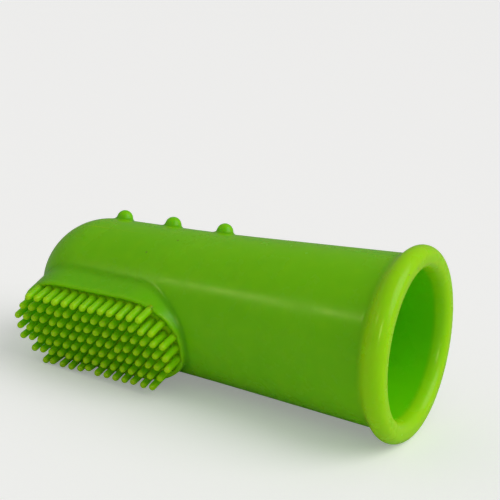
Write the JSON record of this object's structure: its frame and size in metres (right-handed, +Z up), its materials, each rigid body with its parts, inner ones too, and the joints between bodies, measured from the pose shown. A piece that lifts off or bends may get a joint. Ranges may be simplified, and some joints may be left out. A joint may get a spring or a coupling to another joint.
{
  "type": "finger toothbrush for pets",
  "caption": "Soft silicone thimble brush worn on a finger, with a raised bristle pad near its nose and round massage nubs on its back, for cleaning a pet's teeth.",
  "frame": {"origin": "centre of the bounding box's base, on the surface that the brush lies on", "axes": "+X from the closed nose towards the open mouth; +Z up; the bristles point towards -Y and a little down, as the brush lies at rest on its side"},
  "size_m": [0.06, 0.028, 0.0259],
  "materials": {
    "sleeve_silicone": "soft satin, slightly see-through",
    "rim_silicone": "soft satin, slightly see-through",
    "pad_silicone": "soft satin",
    "bristle_silicone": "soft satin, slightly see-through",
    "nub_silicone": "soft satin"
  },
  "bodies": {
    "sleeve": {"finger_sleeve": "sleeve_silicone", "mouth_rim": "rim_silicone", "bristle_pad": "pad_silicone", "massage_nub_1": "nub_silicone", "massage_nub_2": "nub_silicone", "massage_nub_3": "nub_silicone", "massage_nub_4": "nub_silicone", "massage_nub_5": "nub_silicone", "massage_nub_6": "nub_silicone", "massage_nub_7": "nub_silicone", "massage_nub_8": "nub_silicone", "massage_nub_9": "nub_silicone"},
    "row_1": {"bristle_row_1": "bristle_silicone"},
    "row_2": {"bristle_row_2": "bristle_silicone"},
    "row_3": {"bristle_row_3": "bristle_silicone"},
    "row_4": {"bristle_row_4": "bristle_silicone"},
    "row_5": {"bristle_row_5": "bristle_silicone"},
    "row_6": {"bristle_row_6": "bristle_silicone"},
    "row_7": {"bristle_row_7": "bristle_silicone"}
  },
  "joints": [
    {"name": "row_1_flex", "type": "hinge", "parent": "sleeve", "child": "row_1", "pos_m": [-0.01334, -0.00795, 0.0018], "axis": [0.9981, 0, 0.0617], "range_deg": [-30, 30], "stiffness_Nm_per_rad": 0.001},
    {"name": "row_2_flex", "type": "hinge", "parent": "sleeve", "child": "row_2", "pos_m": [-0.01345, -0.0085, 0.00352], "axis": [0.9981, 0, 0.0617], "range_deg": [-30, 30], "stiffness_Nm_per_rad": 0.001},
    {"name": "row_3_flex", "type": "hinge", "parent": "sleeve", "child": "row_3", "pos_m": [-0.01355, -0.00905, 0.00524], "axis": [0.9981, 0, 0.0617], "range_deg": [-30, 30], "stiffness_Nm_per_rad": 0.001},
    {"name": "row_4_flex", "type": "hinge", "parent": "sleeve", "child": "row_4", "pos_m": [-0.01366, -0.0096, 0.00696], "axis": [0.9981, 0, 0.0617], "range_deg": [-30, 30], "stiffness_Nm_per_rad": 0.001},
    {"name": "row_5_flex", "type": "hinge", "parent": "sleeve", "child": "row_5", "pos_m": [-0.01377, -0.01015, 0.00868], "axis": [0.9981, 0, 0.0617], "range_deg": [-30, 30], "stiffness_Nm_per_rad": 0.001},
    {"name": "row_6_flex", "type": "hinge", "parent": "sleeve", "child": "row_6", "pos_m": [-0.01387, -0.01071, 0.0104], "axis": [0.9981, 0, 0.0617], "range_deg": [-30, 30], "stiffness_Nm_per_rad": 0.001},
    {"name": "row_7_flex", "type": "hinge", "parent": "sleeve", "child": "row_7", "pos_m": [-0.01398, -0.01126, 0.01212], "axis": [0.9981, 0, 0.0617], "range_deg": [-30, 30], "stiffness_Nm_per_rad": 0.001}
  ],
  "couplings": [
    {"joint": "row_1_flex", "follows": "row_4_flex", "ratio": 1},
    {"joint": "row_2_flex", "follows": "row_4_flex", "ratio": 1},
    {"joint": "row_3_flex", "follows": "row_4_flex", "ratio": 1},
    {"joint": "row_5_flex", "follows": "row_4_flex", "ratio": 1},
    {"joint": "row_6_flex", "follows": "row_4_flex", "ratio": 1},
    {"joint": "row_7_flex", "follows": "row_4_flex", "ratio": 1}
  ]
}
